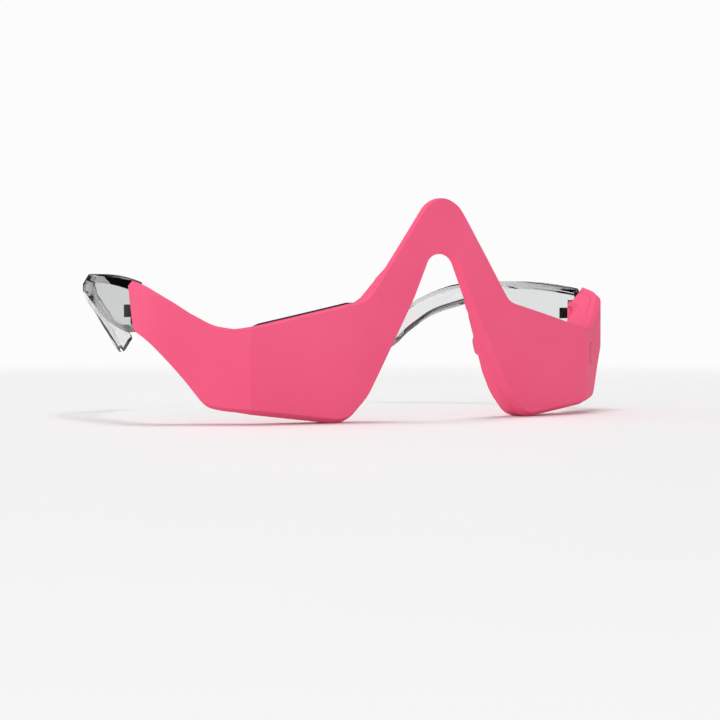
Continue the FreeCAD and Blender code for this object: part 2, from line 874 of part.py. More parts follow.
def main_board():
    """Board in the left wing that carries switch, chips and charging socket."""
    board = prism_along_y([
        (wing_board_start, wing_board_low, 0),
        (socket_along + socket_width / 2, wing_board_low, 0),
        (wing_board_end, wing_board_step, 0),
        (wing_board_end, wing_board_high, 0),
        (wing_board_start, wing_board_high, 0),
    ], wing_board_depth, wing_board_depth + board_thickness)
    board.Placement = wing_frame
    return board


def board_chips():
    """Charger and driver chips and the status lamp on the main board."""
    pieces = []
    for low in chip_lows:
        pieces.append(box_in(wing_frame, vec(chip_start, wing_board_depth - chip_height, low),
                             vec(chip_start + chip_side, wing_board_depth, low + chip_side)))
    half = status_lamp_side / 2
    lamp_low = vec(pipe_along - half, wing_board_depth - status_lamp_height, button_height - half)
    lamp_high = vec(pipe_along + half, wing_board_depth, button_height + half)
    pieces.append(box_in(wing_frame, lamp_low, lamp_high))
    return Part.makeCompound(pieces)


switch_top = wing_board_depth - switch_body_height
cap_back = front_wall + seat_gap + button_flange_thickness
plunger_top = cap_back + button_stem_length


def switch_body():
    """Square press switch under the button."""
    half = switch_side / 2
    body = box_in(wing_frame, vec(button_along - half, switch_top, button_height - half),
                  vec(button_along + half, wing_board_depth, button_height + half))
    well = rod_in(wing_frame, vec(button_along, switch_top - beyond, button_height), vec(0, 1, 0),
                  plunger_radius + fit_gap, beyond + plunger_grip + button_travel + fit_gap)
    return body.cut(well)


def switch_plunger():
    """Stem of the switch that the button pushes."""
    return rod_in(wing_frame, vec(button_along, plunger_top, button_height), vec(0, 1, 0),
                  plunger_radius, switch_top + plunger_grip - plunger_top)


def power_button():
    """Round pink cap with a flange behind the wall and a stem on the switch."""
    cap = rod_in(wing_frame, vec(button_along, -button_proud, button_height), vec(0, 1, 0),
                 button_radius, cap_back + button_proud)
    flange = rod_in(wing_frame, vec(button_along, front_wall + seat_gap, button_height), vec(0, 1, 0),
                    button_flange_radius, button_flange_thickness)
    stem = rod_in(wing_frame, vec(button_along, cap_back, button_height), vec(0, 1, 0),
                  plunger_radius + button_stem_wall, plunger_top - cap_back)
    return cap.fuse([flange, stem]).removeSplitter()


def status_light_pipe():
    """Clear pin that shows the status lamp beside the button."""
    return rod_in(wing_frame, vec(pipe_along, 0, button_height), vec(0, 1, 0),
                  pipe_radius, wing_board_depth - status_lamp_height - seat_gap)


def socket_box(inset, low, high):
    """Block of the charging socket with its upright edges rounded."""
    half = socket_width / 2 - inset
    block = box_in(wing_frame, vec(socket_along - half, wing_board_depth - socket_thickness + inset, low),
                   vec(socket_along + half, wing_board_depth - inset, high))
    edges = [edge for edge in block.Edges if abs(edge.tangentAt(0).z) > 0.99]
    return block.makeFillet((socket_thickness - 2 * inset) * socket_round_share, edges)


def charging_socket():
    """Metal shell of the charging socket, open downwards, with rounded sides."""
    inside = socket_box(socket_wall, socket_low - beyond, socket_top - socket_wall)
    return socket_box(0, socket_low, socket_top).cut(inside)


def socket_tongue():
    """Contact tongue in the middle of the charging socket."""
    top = socket_top - socket_wall
    middle = wing_board_depth - socket_thickness / 2
    half = vec(tongue_width / 2, tongue_thickness / 2, 0)
    low = vec(socket_along, middle, top - tongue_length) - half
    return box_in(wing_frame, low, vec(socket_along, middle, top) + half)


cell_front = front_wall + seat_gap + pad_thickness


def battery_cell():
    """Flat battery in the other wing."""
    cell = box_in(wing_frame, vec(cell_start, cell_front, cell_low),
                  vec(cell_start + cell_length, cell_front + cell_thickness, cell_low + cell_height))
    edges = [edge for edge in cell.Edges if abs(edge.tangentAt(0).z) > 0.99]
    return cell.makeFillet(cell_thickness * cell_round_share, edges)


def battery_pad():
    """Foam pad that holds the battery to the front wall."""
    inset = cell_thickness * pad_inset_share
    return box_in(wing_frame, vec(cell_start + inset, front_wall + seat_gap, cell_low + inset),
                  vec(cell_start + cell_length - inset, cell_front, cell_low + cell_height - inset))


def wing_leads(start, depth):
    """Pair of wires from the wing through the tunnel into the panel."""
    pieces = []
    for rise in lead_rises:
        base = vec(start, depth, tunnel_low + rise)
        pieces.append(rod_in(wing_frame, base, vec(-1, 0, 0), lead_radius, start + lead_reach))
    return Part.makeCompound(pieces)


pad_middle_height = cover_top_inner - pad_below_cover_top


def nose_pad():
    """Soft pad on the sloping face beside the nose."""
    outward = vec(-nose_ramp_outward, 1, -nose_ramp_upward).normalize()
    x = leg_inner_x(pad_middle_height) + pad_inset + pad_width / 2
    y = nose_ramp_depth + nose_ramp_outward * x + nose_ramp_upward * pad_middle_height
    lean = math.radians(leg_inner_lean)
    along = vec(-math.sin(lean), 0, math.cos(lean))
    along = (along - outward * along.dot(outward)).normalize()
    across = along.cross(outward)
    turn = FreeCAD.Rotation(across, outward, along, "ZYX")
    pad = Part.makeBox(pad_width, pad_height, pad_length, vec(-pad_width / 2, 0, -pad_length / 2))
    sides = [edge for edge in pad.Edges if abs(edge.tangentAt(0).y) > 0.99]
    pad = pad.makeFillet(pad_width * pad_corner_share, sides)
    rim = [edge for edge in pad.Edges if edge.BoundBox.YMin > pad_height - 0.01]
    pad = pad.makeFillet(pad_round, rim)
    pad.Placement = FreeCAD.Placement(vec(x, y, pad_middle_height), turn)
    return pad


def arm_section(point, inward, low, high):
    """Bevelled section of the arm, outer face first."""
    thick = arm_thickness
    profile = [
        (0, low + arm_lower_bevel_height),
        (0, high - arm_bevel_height),
        (arm_bevel_depth, high),
        (thick - arm_inner_bevel_depth, high),
        (thick, high - arm_inner_bevel_height),
        (thick, low + arm_inner_lower_bevel),
        (thick - arm_inner_lower_bevel, low),
        (arm_lower_bevel_depth, low),
    ]
    return [point + inward * depth + up * height for depth, height in profile]


def arm_station(distance):
    """Point on the outer plan line of the arm and the inward direction there."""
    lean = math.radians(arm_lean)
    straight = min(distance, arm_straight)
    inward = vec(-math.cos(lean), -math.sin(lean), 0)
    point = arm_root + vec(-math.sin(lean), math.cos(lean), 0) * straight
    centre = point + inward * arm_hook_radius
    angle = lean + (distance - straight) / arm_hook_radius
    outward = vec(math.cos(angle), math.sin(angle), 0)
    return centre + outward * arm_hook_radius, outward * -1


def before_arm_tip():
    """Everything ahead of the slanted cut that ends the arm."""
    point, inward = arm_station(arm_tip_along)
    slant = math.radians(arm_tip_slant)
    onward = vec(inward.y, -inward.x, 0)
    outward = onward * math.cos(slant) - up * math.sin(slant)
    return half_space(point + up * arm_tip_height, outward)


def arm():
    """Clear arm: a straight tall root that slims and hooks inwards and down behind the ear."""
    sections = []
    for distance, low, high in even_stations(arm_heights, -arm_overrun, arm_heights[-1][0], arm_step_count):
        point, inward = arm_station(distance)
        sections.append(arm_section(point, inward, low, high))
    body = loft_through(sections).common(behind_arm_root()).common(before_arm_tip()).Solids[0]
    room = barrel_radius + pocket_gap
    pocket = box_in(arm_frame, vec(-arm_thickness - beyond, -arm_overrun, hinge_low - pocket_gap),
                    vec(room - barrel_inset, room + barrel_reach, hinge_high + pin_head_height + pocket_gap))
    slot = box_in(arm_frame, leaf_low - leaf_room, leaf_high + leaf_room)
    return body.cut([pocket, slot])


def hinge_leaf():
    """Dark leaf in a slot of the arm, just under its outer face."""
    return box_in(arm_frame, leaf_low, leaf_high)


def hinge_knuckle():
    """Pink knuckle between the lugs, flat on the side where it is bonded to the leaf."""
    height = knuckle_high - knuckle_low
    barrel = Part.makeCylinder(barrel_radius, height, hinge_point + up * knuckle_low)
    heel = box_in(arm_frame, vec(-barrel_inset, barrel_reach, knuckle_low),
                  vec(leaf_low.x - seat_gap, barrel_reach + barrel_radius, knuckle_high))
    flat = box_in(arm_frame, vec(leaf_low.x - seat_gap, -tall / 2, 0), vec(tall, tall / 2, tall))
    pin_hole = Part.makeCylinder(pin_radius + seat_gap / 2, tall, hinge_point)
    return barrel.fuse(heel).removeSplitter().cut([flat, pin_hole])


def hinge_pin():
    """Steel pin through lugs and knuckle, with a flat head on top."""
    shank = Part.makeCylinder(pin_radius, hinge_high - hinge_low, hinge_point + up * hinge_low)
    head_base = hinge_point + up * (hinge_high + seat_gap)
    head = Part.makeCylinder(pin_head_radius, pin_head_height - seat_gap, head_base)
    neck = Part.makeCylinder(pin_radius, pin_head_height, hinge_point + up * hinge_high)
    return shank.fuse([neck, head]).removeSplitter()


# Assembly: pieces of the left side are repeated on the right
both_sides = {
    "rim_trim": rim_strip(0),
    "light_window": light_window(),
    "light_board": light_board(),
    "lamps": lamps(),
    "board_screws": board_screws(),
    "nose_pad": nose_pad(),
    "arm": arm(),
    "hinge_leaf": hinge_leaf(),
    "hinge_knuckle": hinge_knuckle(),
    "hinge_pin": hinge_pin(),
}
cover = inner_cover()
pieces = {
    "front_shell": front_shell(),
    "left_inner_cover": cover.cut(socket_opening()),
    "right_inner_cover": mirrored(cover),
    "bridge_cable": bridge_cable(),
    "bridge_strip": bridge_strip(),
    "main_board": main_board(),
    "board_chips": board_chips(),
    "switch_body": switch_body(),
    "switch_plunger": switch_plunger(),
    "power_button": power_button(),
    "status_light_pipe": status_light_pipe(),
    "charging_socket": charging_socket(),
    "socket_tongue": socket_tongue(),
    "board_leads": wing_leads(wing_board_start, wing_board_depth - lead_radius),
    "battery_cell": mirrored(battery_cell()),
    "battery_pad": mirrored(battery_pad()),
    "battery_leads": mirrored(wing_leads(cell_start, cell_front + cell_thickness - 2 * lead_radius)),
}
for name, shape in both_sides.items():
    pieces["left_" + name] = shape
    pieces["right_" + name] = mirrored(shape)

# The origin is under the middle of the whole device, on the surface that the lobes stand on
box = Part.makeCompound(list(pieces.values())).optimalBoundingBox(False, False)
shift = vec(0, -(box.YMin + box.YMax) / 2, -box.ZMin)
os.makedirs("parts", exist_ok=True)
for name, shape in pieces.items():
    shape.translate(shift)
    shape.exportStep("parts/" + name + ".step")

button_direction = wing_frame.Rotation.multVec(vec(0, 1, 0))
print("size", box.XLength, box.YLength, box.ZLength)
print("hinge axis", hinge_point + shift)
print("button direction", button_direction)
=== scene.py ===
import math

import bpy
from mathutils import Matrix, Vector


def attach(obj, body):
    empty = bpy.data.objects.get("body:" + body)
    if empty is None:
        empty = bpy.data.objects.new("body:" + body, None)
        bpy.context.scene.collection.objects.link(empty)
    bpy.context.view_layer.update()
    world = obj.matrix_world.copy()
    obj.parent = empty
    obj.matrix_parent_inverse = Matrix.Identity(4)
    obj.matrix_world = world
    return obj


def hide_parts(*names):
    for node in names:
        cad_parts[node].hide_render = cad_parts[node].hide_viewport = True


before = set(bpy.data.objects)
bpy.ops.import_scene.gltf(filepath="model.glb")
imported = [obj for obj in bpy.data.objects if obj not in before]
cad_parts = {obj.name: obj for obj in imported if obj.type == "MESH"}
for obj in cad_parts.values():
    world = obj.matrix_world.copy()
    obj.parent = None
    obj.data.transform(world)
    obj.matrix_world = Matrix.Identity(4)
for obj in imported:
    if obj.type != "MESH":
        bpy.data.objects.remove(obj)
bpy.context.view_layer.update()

bpy.ops.object.select_all(action="DESELECT")

# Front frame
# One pink moulding sweeps under both eyes and over the nose. It is injection moulded in opaque
# polycarbonate, and the tool was finely spark eroded, which leaves a satin face with a tight grain.
PINK_DEEP = (0.785, 0.097, 0.200, 1)
PINK_BRIGHT = (0.825, 0.111, 0.223, 1)
PINK_FLOW_SCALE = 34
PINK_GRAIN_SCALE = 3200
PINK_GRAIN_DETAIL = 2.0
PINK_GRAIN_DEPTH = 0.000012
PINK_ROUGHNESS = (0.44, 0.54)
PINK_SHINE = 0.05
PINK_EDGE_ROUND = 0.00025
EDGE_SAMPLES = 8
PATTERN_LOW = 0.3
PATTERN_HIGH = 0.7


def new_finish(name, roughness=0.4):
    """Empty material with its shader and the place on the piece."""
    material = bpy.data.materials.new(name)
    material.use_nodes = True
    shader = material.node_tree.nodes["Principled BSDF"]
    shader.inputs["Roughness"].default_value = roughness
    place = material.node_tree.nodes.new("ShaderNodeTexCoord")
    return material, shader, place.outputs["Object"]


def cloudy(material, place, per_metre, detail=3.0):
    """Soft uneven pattern with so many patches to the metre."""
    node = material.node_tree.nodes.new("ShaderNodeTexNoise")
    node.inputs["Scale"].default_value = per_metre
    node.inputs["Detail"].default_value = detail
    material.node_tree.links.new(place, node.inputs["Vector"])
    return node.outputs["Fac"]


def shade_between(material, value, dark, light, socket):
    """Runs a colour socket from dark to light over the middle range of a pattern."""
    node = material.node_tree.nodes.new("ShaderNodeValToRGB")
    node.color_ramp.elements[0].position = PATTERN_LOW
    node.color_ramp.elements[0].color = dark
    node.color_ramp.elements[1].position = PATTERN_HIGH
    node.color_ramp.elements[1].color = light
    material.node_tree.links.new(value, node.inputs["Fac"])
    material.node_tree.links.new(node.outputs["Color"], socket)


def range_between(material, value, limits, socket):
    """Runs a number socket between two limits over the middle range of a pattern."""
    node = material.node_tree.nodes.new("ShaderNodeMapRange")
    node.inputs["From Min"].default_value = PATTERN_LOW
    node.inputs["From Max"].default_value = PATTERN_HIGH
    node.inputs["To Min"].default_value = limits[0]
    node.inputs["To Max"].default_value = limits[1]
    material.node_tree.links.new(value, node.inputs["Value"])
    material.node_tree.links.new(node.outputs["Result"], socket)


def emboss(material, value, depth, shader):
    """Raises the surface by a depth in metres where the value is high."""
    node = material.node_tree.nodes.new("ShaderNodeBump")
    node.inputs["Distance"].default_value = depth
    material.node_tree.links.new(value, node.inputs["Height"])
    material.node_tree.links.new(node.outputs["Normal"], shader.inputs["Normal"])
    return node


def soften(material, radius, socket):
    """Rounds the look of sharp moulded edges by a radius in metres."""
    node = material.node_tree.nodes.new("ShaderNodeBevel")
    node.samples = EDGE_SAMPLES
    node.inputs["Radius"].default_value = radius
    material.node_tree.links.new(node.outputs["Normal"], socket)


def dress(material, *names):
    """Gives these pieces of the device one finish."""
    for name in names:
        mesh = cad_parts[name].data
        mesh.materials.clear()
        mesh.materials.append(material)


pink_satin, pink_shader, pink_place = new_finish("pink_satin_plastic")
pink_flow = cloudy(pink_satin, pink_place, PINK_FLOW_SCALE)
pink_grain = cloudy(pink_satin, pink_place, PINK_GRAIN_SCALE, PINK_GRAIN_DETAIL)
shade_between(pink_satin, pink_flow, PINK_DEEP, PINK_BRIGHT, pink_shader.inputs["Base Color"])
range_between(pink_satin, pink_grain, PINK_ROUGHNESS, pink_shader.inputs["Roughness"])
pink_relief = emboss(pink_satin, pink_grain, PINK_GRAIN_DEPTH, pink_shader)
soften(pink_satin, PINK_EDGE_ROUND, pink_relief.inputs["Normal"])
pink_shader.inputs["Specular IOR Level"].default_value = PINK_SHINE
dress(pink_satin, "front_shell")

# Light boards
# Thin glass-fibre boards behind the windows, coated white so that they throw the light forwards.
# Copper tracks show faintly under the coating, and two small screws hold each board to its posts.
SIDES = (("left", 1), ("right", -1))
PANEL_TILT = math.radians(10.4)
MASK_WHITE = (0.83, 0.83, 0.80, 1)
MASK_TRACK = (0.74, 0.66, 0.52, 1)
MASK_ROUGHNESS = 0.35
TRACK_PITCH = 0.0019
TRACK_SHARE = 0.12
TRACK_RUN = 2.5
TRACK_RELIEF = 0.00002


def tracks(material, place, pitch, share, tilt):
    """Fine grid of copper tracks on a board that is turned by tilt about the upright."""
    turn = material.node_tree.nodes.new("ShaderNodeMapping")
    turn.inputs["Rotation"].default_value = (math.radians(90), 0, -tilt)
    bricks = material.node_tree.nodes.new("ShaderNodeTexBrick")
    bricks.inputs["Scale"].default_value = 1.0
    bricks.inputs["Brick Width"].default_value = pitch * TRACK_RUN
    bricks.inputs["Row Height"].default_value = pitch
    bricks.inputs["Mortar Size"].default_value = pitch * share
    material.node_tree.links.new(place, turn.inputs["Vector"])
    material.node_tree.links.new(turn.outputs["Vector"], bricks.inputs["Vector"])
    return bricks.outputs["Fac"]


for side, sign in SIDES:
    board_coat, board_shader, board_place = new_finish(side + "_board_coat", MASK_ROUGHNESS)
    board_tracks = tracks(board_coat, board_place, TRACK_PITCH, TRACK_SHARE, sign * PANEL_TILT)
    shade_between(board_coat, board_tracks, MASK_WHITE, MASK_TRACK, board_shader.inputs["Base Color"])
    emboss(board_coat, board_tracks, TRACK_RELIEF, board_shader)
    dress(board_coat, side + "_light_board")

STEEL_DARK = (0.46, 0.46, 0.47, 1)
STEEL_LIGHT = (0.62, 0.62, 0.63, 1)
STEEL_CLOUD_SCALE = 900
STEEL_ROUGHNESS = (0.24, 0.40)
drawn_steel, steel_shader, steel_place = new_finish("drawn_steel")
steel_shader.inputs["Metallic"].default_value = 1.0
steel_cloud = cloudy(drawn_steel, steel_place, STEEL_CLOUD_SCALE)
shade_between(drawn_steel, steel_cloud, STEEL_DARK, STEEL_LIGHT, steel_shader.inputs["Base Color"])
range_between(drawn_steel, steel_cloud, STEEL_ROUGHNESS, steel_shader.inputs["Roughness"])
dress(drawn_steel, "left_board_screws", "right_board_screws")

# Lamps
# Square red lamps soldered in five columns of three on each board. The body is a pale moulding,
# and a drop of clear red resin fills its cup and stands slightly proud as a lens.
LAMP_BODY_PALE = (0.86, 0.84, 0.79, 1)
LAMP_BODY_SHADE = (0.74, 0.71, 0.64, 1)
LAMP_ROUGHNESS = 0.45
LAMP_CLOUD_SCALE = 1500
LAMP_TOP_BAND = 0.0001
LAMP_PLACE_DIGITS = 5
LENS_RED = (0.72, 0.035, 0.025, 1)
LENS_RED_DEEP = (0.55, 0.020, 0.018, 1)
LENS_ROUGHNESS = 0.12
LENS_CLOUD_SCALE = 2200
LENS_CLEAR_SHARE = 0.35
LENS_COAT = 0.4
LENS_RADIUS = 0.00070
LENS_HEIGHT = 0.00013
LENS_SINK = 0.00010
LENS_ROUND = 0.00008
LENS_ROUND_STEPS = 3
LENS_SIDES = 20
SMOOTH_ANGLE = math.radians(40)

lamp_body, lamp_shader, lamp_place = new_finish("lamp_body_resin", LAMP_ROUGHNESS)
lamp_cloud = cloudy(lamp_body, lamp_place, LAMP_CLOUD_SCALE)
shade_between(lamp_body, lamp_cloud, LAMP_BODY_SHADE, LAMP_BODY_PALE, lamp_shader.inputs["Base Color"])
dress(lamp_body, "left_lamps", "right_lamps")

lens_resin, lens_shader, lens_place = new_finish("red_lens_resin", LENS_ROUGHNESS)
lens_cloud = cloudy(lens_resin, lens_place, LENS_CLOUD_SCALE)
shade_between(lens_resin, lens_cloud, LENS_RED_DEEP, LENS_RED, lens_shader.inputs["Base Color"])
lens_shader.inputs["Transmission Weight"].default_value = LENS_CLEAR_SHARE
lens_shader.inputs["Coat Weight"].default_value = LENS_COAT


def select_where(piece, domain, chosen):
    """Selects only the edges or faces whose corners pass the test, and stays in edit mode."""
    bpy.ops.object.mode_set(mode="EDIT")
    bpy.ops.mesh.select_mode(type=domain)
    bpy.ops.mesh.select_all(action="DESELECT")
    bpy.ops.object.mode_set(mode="OBJECT")
    mesh = piece.data
    parts = mesh.edges if domain == "EDGE" else mesh.polygons
    for part in parts:
        corners = [mesh.vertices[i].co for i in part.vertices]
        part.select = chosen(corners)
    bpy.ops.object.mode_set(mode="EDIT")


def join_as(name, pieces):
    """Joins the pieces into one mesh at the origin under this name."""
    bpy.ops.object.select_all(action="DESELECT")
    for piece in pieces:
        piece.select_set(True)
    bpy.context.view_layer.objects.active = pieces[0]
    bpy.ops.object.transform_apply(location=True, rotation=True, scale=True)
    if len(pieces) > 1:
        bpy.ops.object.join()
    joined = bpy.context.view_layer.objects.active
    joined.name = name
    joined.data.name = name
    bpy.ops.object.shade_smooth_by_angle(angle=SMOOTH_ANGLE)
    bpy.ops.object.select_all(action="DESELECT")
    return joined


def copy_to(piece, where):
    """Copy of a piece with its own mesh, placed by a matrix."""
    twin = piece.copy()
    twin.data = piece.data.copy()
    twin.matrix_world = where
    bpy.context.scene.collection.objects.link(twin)
    return twin


for side, sign in SIDES:
    toward_skin = Vector((-sign * math.sin(PANEL_TILT), math.cos(PANEL_TILT), 0))
    along_panel = Vector((math.cos(PANEL_TILT), sign * math.sin(PANEL_TILT), 0))
    facing = Matrix((along_panel, Vector((0, 0, 1)).cross(along_panel), (0, 0, 1))).transposed()
    facing = facing.to_4x4() @ Matrix.Rotation(math.radians(-90), 4, "X")
    lamp_points = [v.co.copy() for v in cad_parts[side + "_lamps"].data.vertices]
    skin_level = max(point.dot(toward_skin) for point in lamp_points)
    columns = set()
    rows = set()
    for point in lamp_points:
        if skin_level - point.dot(toward_skin) < LAMP_TOP_BAND:
            columns.add(round(point.dot(along_panel), LAMP_PLACE_DIGITS))
            rows.add(round(point.z, LAMP_PLACE_DIGITS))
    columns = sorted(columns)
    rows = sorted(rows)
    bpy.ops.mesh.primitive_cylinder_add(
        vertices=LENS_SIDES, radius=LENS_RADIUS, depth=LENS_HEIGHT + LENS_SINK)
    first_lens = bpy.context.active_object
    select_where(first_lens, "EDGE", lambda corners: all(c.z > 0 for c in corners))
    bpy.ops.mesh.bevel(offset=LENS_ROUND, segments=LENS_ROUND_STEPS, affect="EDGES")
    bpy.ops.object.mode_set(mode="OBJECT")
    lenses = []
    for west, east in zip(columns[0::2], columns[1::2]):
        for low, high in zip(rows[0::2], rows[1::2]):
            middle = along_panel * ((west + east) / 2)
            middle += toward_skin * (skin_level + (LENS_HEIGHT - LENS_SINK) / 2)
            middle.z = (low + high) / 2
            lenses.append(copy_to(first_lens, Matrix.Translation(middle) @ facing))
    bpy.data.objects.remove(first_lens)
    lens_set = join_as(side + "_lamp_lenses", lenses)
    lens_set.data.materials.append(lens_resin)
    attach(lens_set, "frame")

# Bridge cable and its strip
# A flat amber film cable carries power over the nose in a groove of the frame, with copper lines
# showing through. A pink snap-in strip closes the groove from the skin side.
FILM_AMBER = (0.52, 0.21, 0.03, 1)
FILM_COPPER = (0.66, 0.33, 0.11, 1)
FILM_ROUGHNESS = 0.28
FILM_LINE_PITCH = 0.0008
FILM_LINE_SHARE = 0.3
cable_film, film_shader, film_place = new_finish("amber_cable_film", FILM_ROUGHNESS)
film_lines = tracks(cable_film, film_place, FILM_LINE_PITCH, FILM_LINE_SHARE, 0)
shade_between(cable_film, film_lines, FILM_AMBER, FILM_COPPER, film_shader.inputs["Base Color"])
dress(cable_film, "bridge_cable")
dress(pink_satin, "bridge_strip")

# Main board
# The control board stands in the left wing: green coated glass fibre with copper tracks and three
# black moulded chips. A pair of covered wires runs from it, and one from the battery, to the panels.
WING_TILT = math.radians(38.9)
BOARD_GREEN = (0.012, 0.13, 0.045, 1)
BOARD_TRACK = (0.045, 0.26, 0.09, 1)
BOARD_ROUGHNESS = 0.33
BOARD_TRACK_PITCH = 0.0011
BOARD_TRACK_SHARE = 0.22
green_board, green_shader, green_place = new_finish("green_board_coat", BOARD_ROUGHNESS)
green_tracks = tracks(green_board, green_place, BOARD_TRACK_PITCH, BOARD_TRACK_SHARE, WING_TILT)
shade_between(green_board, green_tracks, BOARD_GREEN, BOARD_TRACK, green_shader.inputs["Base Color"])
emboss(green_board, green_tracks, TRACK_RELIEF, green_shader)
dress(green_board, "main_board")

CHIP_BLACK = (0.014, 0.014, 0.015, 1)
CHIP_GREY = (0.030, 0.030, 0.032, 1)
CHIP_ROUGHNESS = 0.5
CHIP_GRAIN_SCALE = 5200
CHIP_GRAIN_DEPTH = 0.00001
chip_resin, chip_shader, chip_place = new_finish("black_chip_resin", CHIP_ROUGHNESS)
chip_grain = cloudy(chip_resin, chip_place, CHIP_GRAIN_SCALE)
shade_between(chip_resin, chip_grain, CHIP_BLACK, CHIP_GREY, chip_shader.inputs["Base Color"])
emboss(chip_resin, chip_grain, CHIP_GRAIN_DEPTH, chip_shader)
dress(chip_resin, "board_chips", "switch_body", "socket_tongue")

WIRE_RED = (0.50, 0.012, 0.010, 1)
WIRE_BLACK = (0.012, 0.012, 0.013, 1)
WIRE_ROUGHNESS = 0.42
WIRE_SPLIT = 0.01454
wire_cover, wire_shader, wire_place = new_finish("wire_cover", WIRE_ROUGHNESS)
wire_height = wire_cover.node_tree.nodes.new("ShaderNodeSeparateXYZ")
wire_upper = wire_cover.node_tree.nodes.new("ShaderNodeMath")
wire_upper.operation = "GREATER_THAN"
wire_upper.inputs[1].default_value = WIRE_SPLIT
wire_cover.node_tree.links.new(wire_place, wire_height.inputs["Vector"])
wire_cover.node_tree.links.new(wire_height.outputs["Z"], wire_upper.inputs[0])
shade_between(wire_cover, wire_upper.outputs["Value"], WIRE_BLACK, WIRE_RED,
              wire_shader.inputs["Base Color"])
dress(wire_cover, "board_leads", "battery_leads")

# Switch plunger and power button
# The button is a pink cap flush in the left wing, moulded with the same grain as the frame.
# It presses a white nylon plunger on the small switch of the main board.
NYLON_WHITE = (0.80, 0.79, 0.76, 1)
NYLON_SHADE = (0.70, 0.69, 0.66, 1)
NYLON_ROUGHNESS = 0.4
NYLON_CLOUD_SCALE = 700
white_nylon, nylon_shader, nylon_place = new_finish("white_nylon", NYLON_ROUGHNESS)
nylon_cloud = cloudy(white_nylon, nylon_place, NYLON_CLOUD_SCALE)
shade_between(white_nylon, nylon_cloud, NYLON_SHADE, NYLON_WHITE, nylon_shader.inputs["Base Color"])
dress(white_nylon, "switch_plunger")
dress(pink_satin, "power_button")

# Charging socket
# A deep-drawn steel shell in the lower edge of the left wing, with a black tongue inside it.
# Thin gold-plated contacts lie on both faces of the tongue.
GOLD_DEEP = (0.70, 0.46, 0.14, 1)
GOLD_BRIGHT = (0.86, 0.62, 0.24, 1)
GOLD_ROUGHNESS = (0.18, 0.32)
GOLD_CLOUD_SCALE = 2600
CONTACT_COUNT = 6
CONTACT_WIDTH = 0.00042
CONTACT_LENGTH = 0.0036
CONTACT_THICKNESS = 0.00012
CONTACT_PROUD = 0.00004
CONTACT_ROUND = 0.00003
CONTACT_ROUND_STEPS = 2
SAME_PLACE = 1e-6
dress(drawn_steel, "charging_socket")
contact_gold, gold_shader, gold_place = new_finish("contact_gold")
gold_shader.inputs["Metallic"].default_value = 1.0
gold_cloud = cloudy(contact_gold, gold_place, GOLD_CLOUD_SCALE)
shade_between(contact_gold, gold_cloud, GOLD_DEEP, GOLD_BRIGHT, gold_shader.inputs["Base Color"])
range_between(contact_gold, gold_cloud, GOLD_ROUGHNESS, gold_shader.inputs["Roughness"])

wing_along = Vector((math.cos(WING_TILT), math.sin(WING_TILT), 0))
wing_across = Vector((-math.sin(WING_TILT), math.cos(WING_TILT), 0))


def reach(name, direction):
    """Lowest and highest place of a piece along a direction."""
    places = [v.co.dot(direction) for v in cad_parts[name].data.vertices]
    return min(places), max(places)


tongue_along = reach("socket_tongue", wing_along)
tongue_across = reach("socket_tongue", wing_across)
tongue_up = reach("socket_tongue", Vector((0, 0, 1)))
contact_turn = Matrix.Rotation(WING_TILT, 4, "Z")
contact_pitch = (tongue_along[1] - tongue_along[0]) / (CONTACT_COUNT + 1)
bpy.ops.mesh.primitive_cube_add(size=1)
first_contact = bpy.context.active_object
first_contact.scale = (CONTACT_WIDTH, CONTACT_THICKNESS, CONTACT_LENGTH)
bpy.ops.object.transform_apply(location=False, rotation=False, scale=True)
select_where(first_contact, "EDGE", lambda corners: abs(corners[0].y - corners[1].y) < SAME_PLACE)
bpy.ops.mesh.bevel(offset=CONTACT_ROUND, segments=CONTACT_ROUND_STEPS, affect="EDGES")
bpy.ops.object.mode_set(mode="OBJECT")
contacts = []
for face_place, outwards in ((tongue_across[0], -1), (tongue_across[1], 1)):
    for count in range(CONTACT_COUNT):
        middle = wing_along * (tongue_along[0] + contact_pitch * (count + 1))
        middle += wing_across * (face_place + outwards * (CONTACT_PROUD - CONTACT_THICKNESS / 2))
        middle.z = (tongue_up[0] + tongue_up[1]) / 2
        contacts.append(copy_to(first_contact, Matrix.Translation(middle) @ contact_turn))
bpy.data.objects.remove(first_contact)
contact_row = join_as("socket_contacts", contacts)
contact_row.data.materials.append(contact_gold)
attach(contact_row, "frame")

# Battery
# A small lithium pouch in the right wing, sealed in wrinkled aluminium foil. A strip of soft
# open-cell foam, glued to the front wall, keeps it from rattling.
# The foil's colour carries painted shade: the wrinkle pattern that raises the relief also makes it
# darker in the hollows and lighter on the crests.
FOIL_HOLLOW_SHADE = (0.52, 0.53, 0.55, 1)
FOIL_LIGHT = (0.74, 0.75, 0.77, 1)
FOIL_ROUGHNESS = (0.30, 0.46)
FOIL_METAL_SHARE = 0.85
FOIL_WRINKLE_SCALE = 420
FOIL_WRINKLE_DETAIL = 5.0
FOIL_WRINKLE_DEPTH = 0.00012
battery_foil, foil_shader, foil_place = new_finish("pouch_foil")
foil_shader.inputs["Metallic"].default_value = FOIL_METAL_SHARE
foil_wrinkle = cloudy(battery_foil, foil_place, FOIL_WRINKLE_SCALE, FOIL_WRINKLE_DETAIL)
shade_between(battery_foil, foil_wrinkle, FOIL_HOLLOW_SHADE, FOIL_LIGHT, foil_shader.inputs["Base Color"])
range_between(battery_foil, foil_wrinkle, FOIL_ROUGHNESS, foil_shader.inputs["Roughness"])
emboss(battery_foil, foil_wrinkle, FOIL_WRINKLE_DEPTH, foil_shader)
dress(battery_foil, "battery_cell")
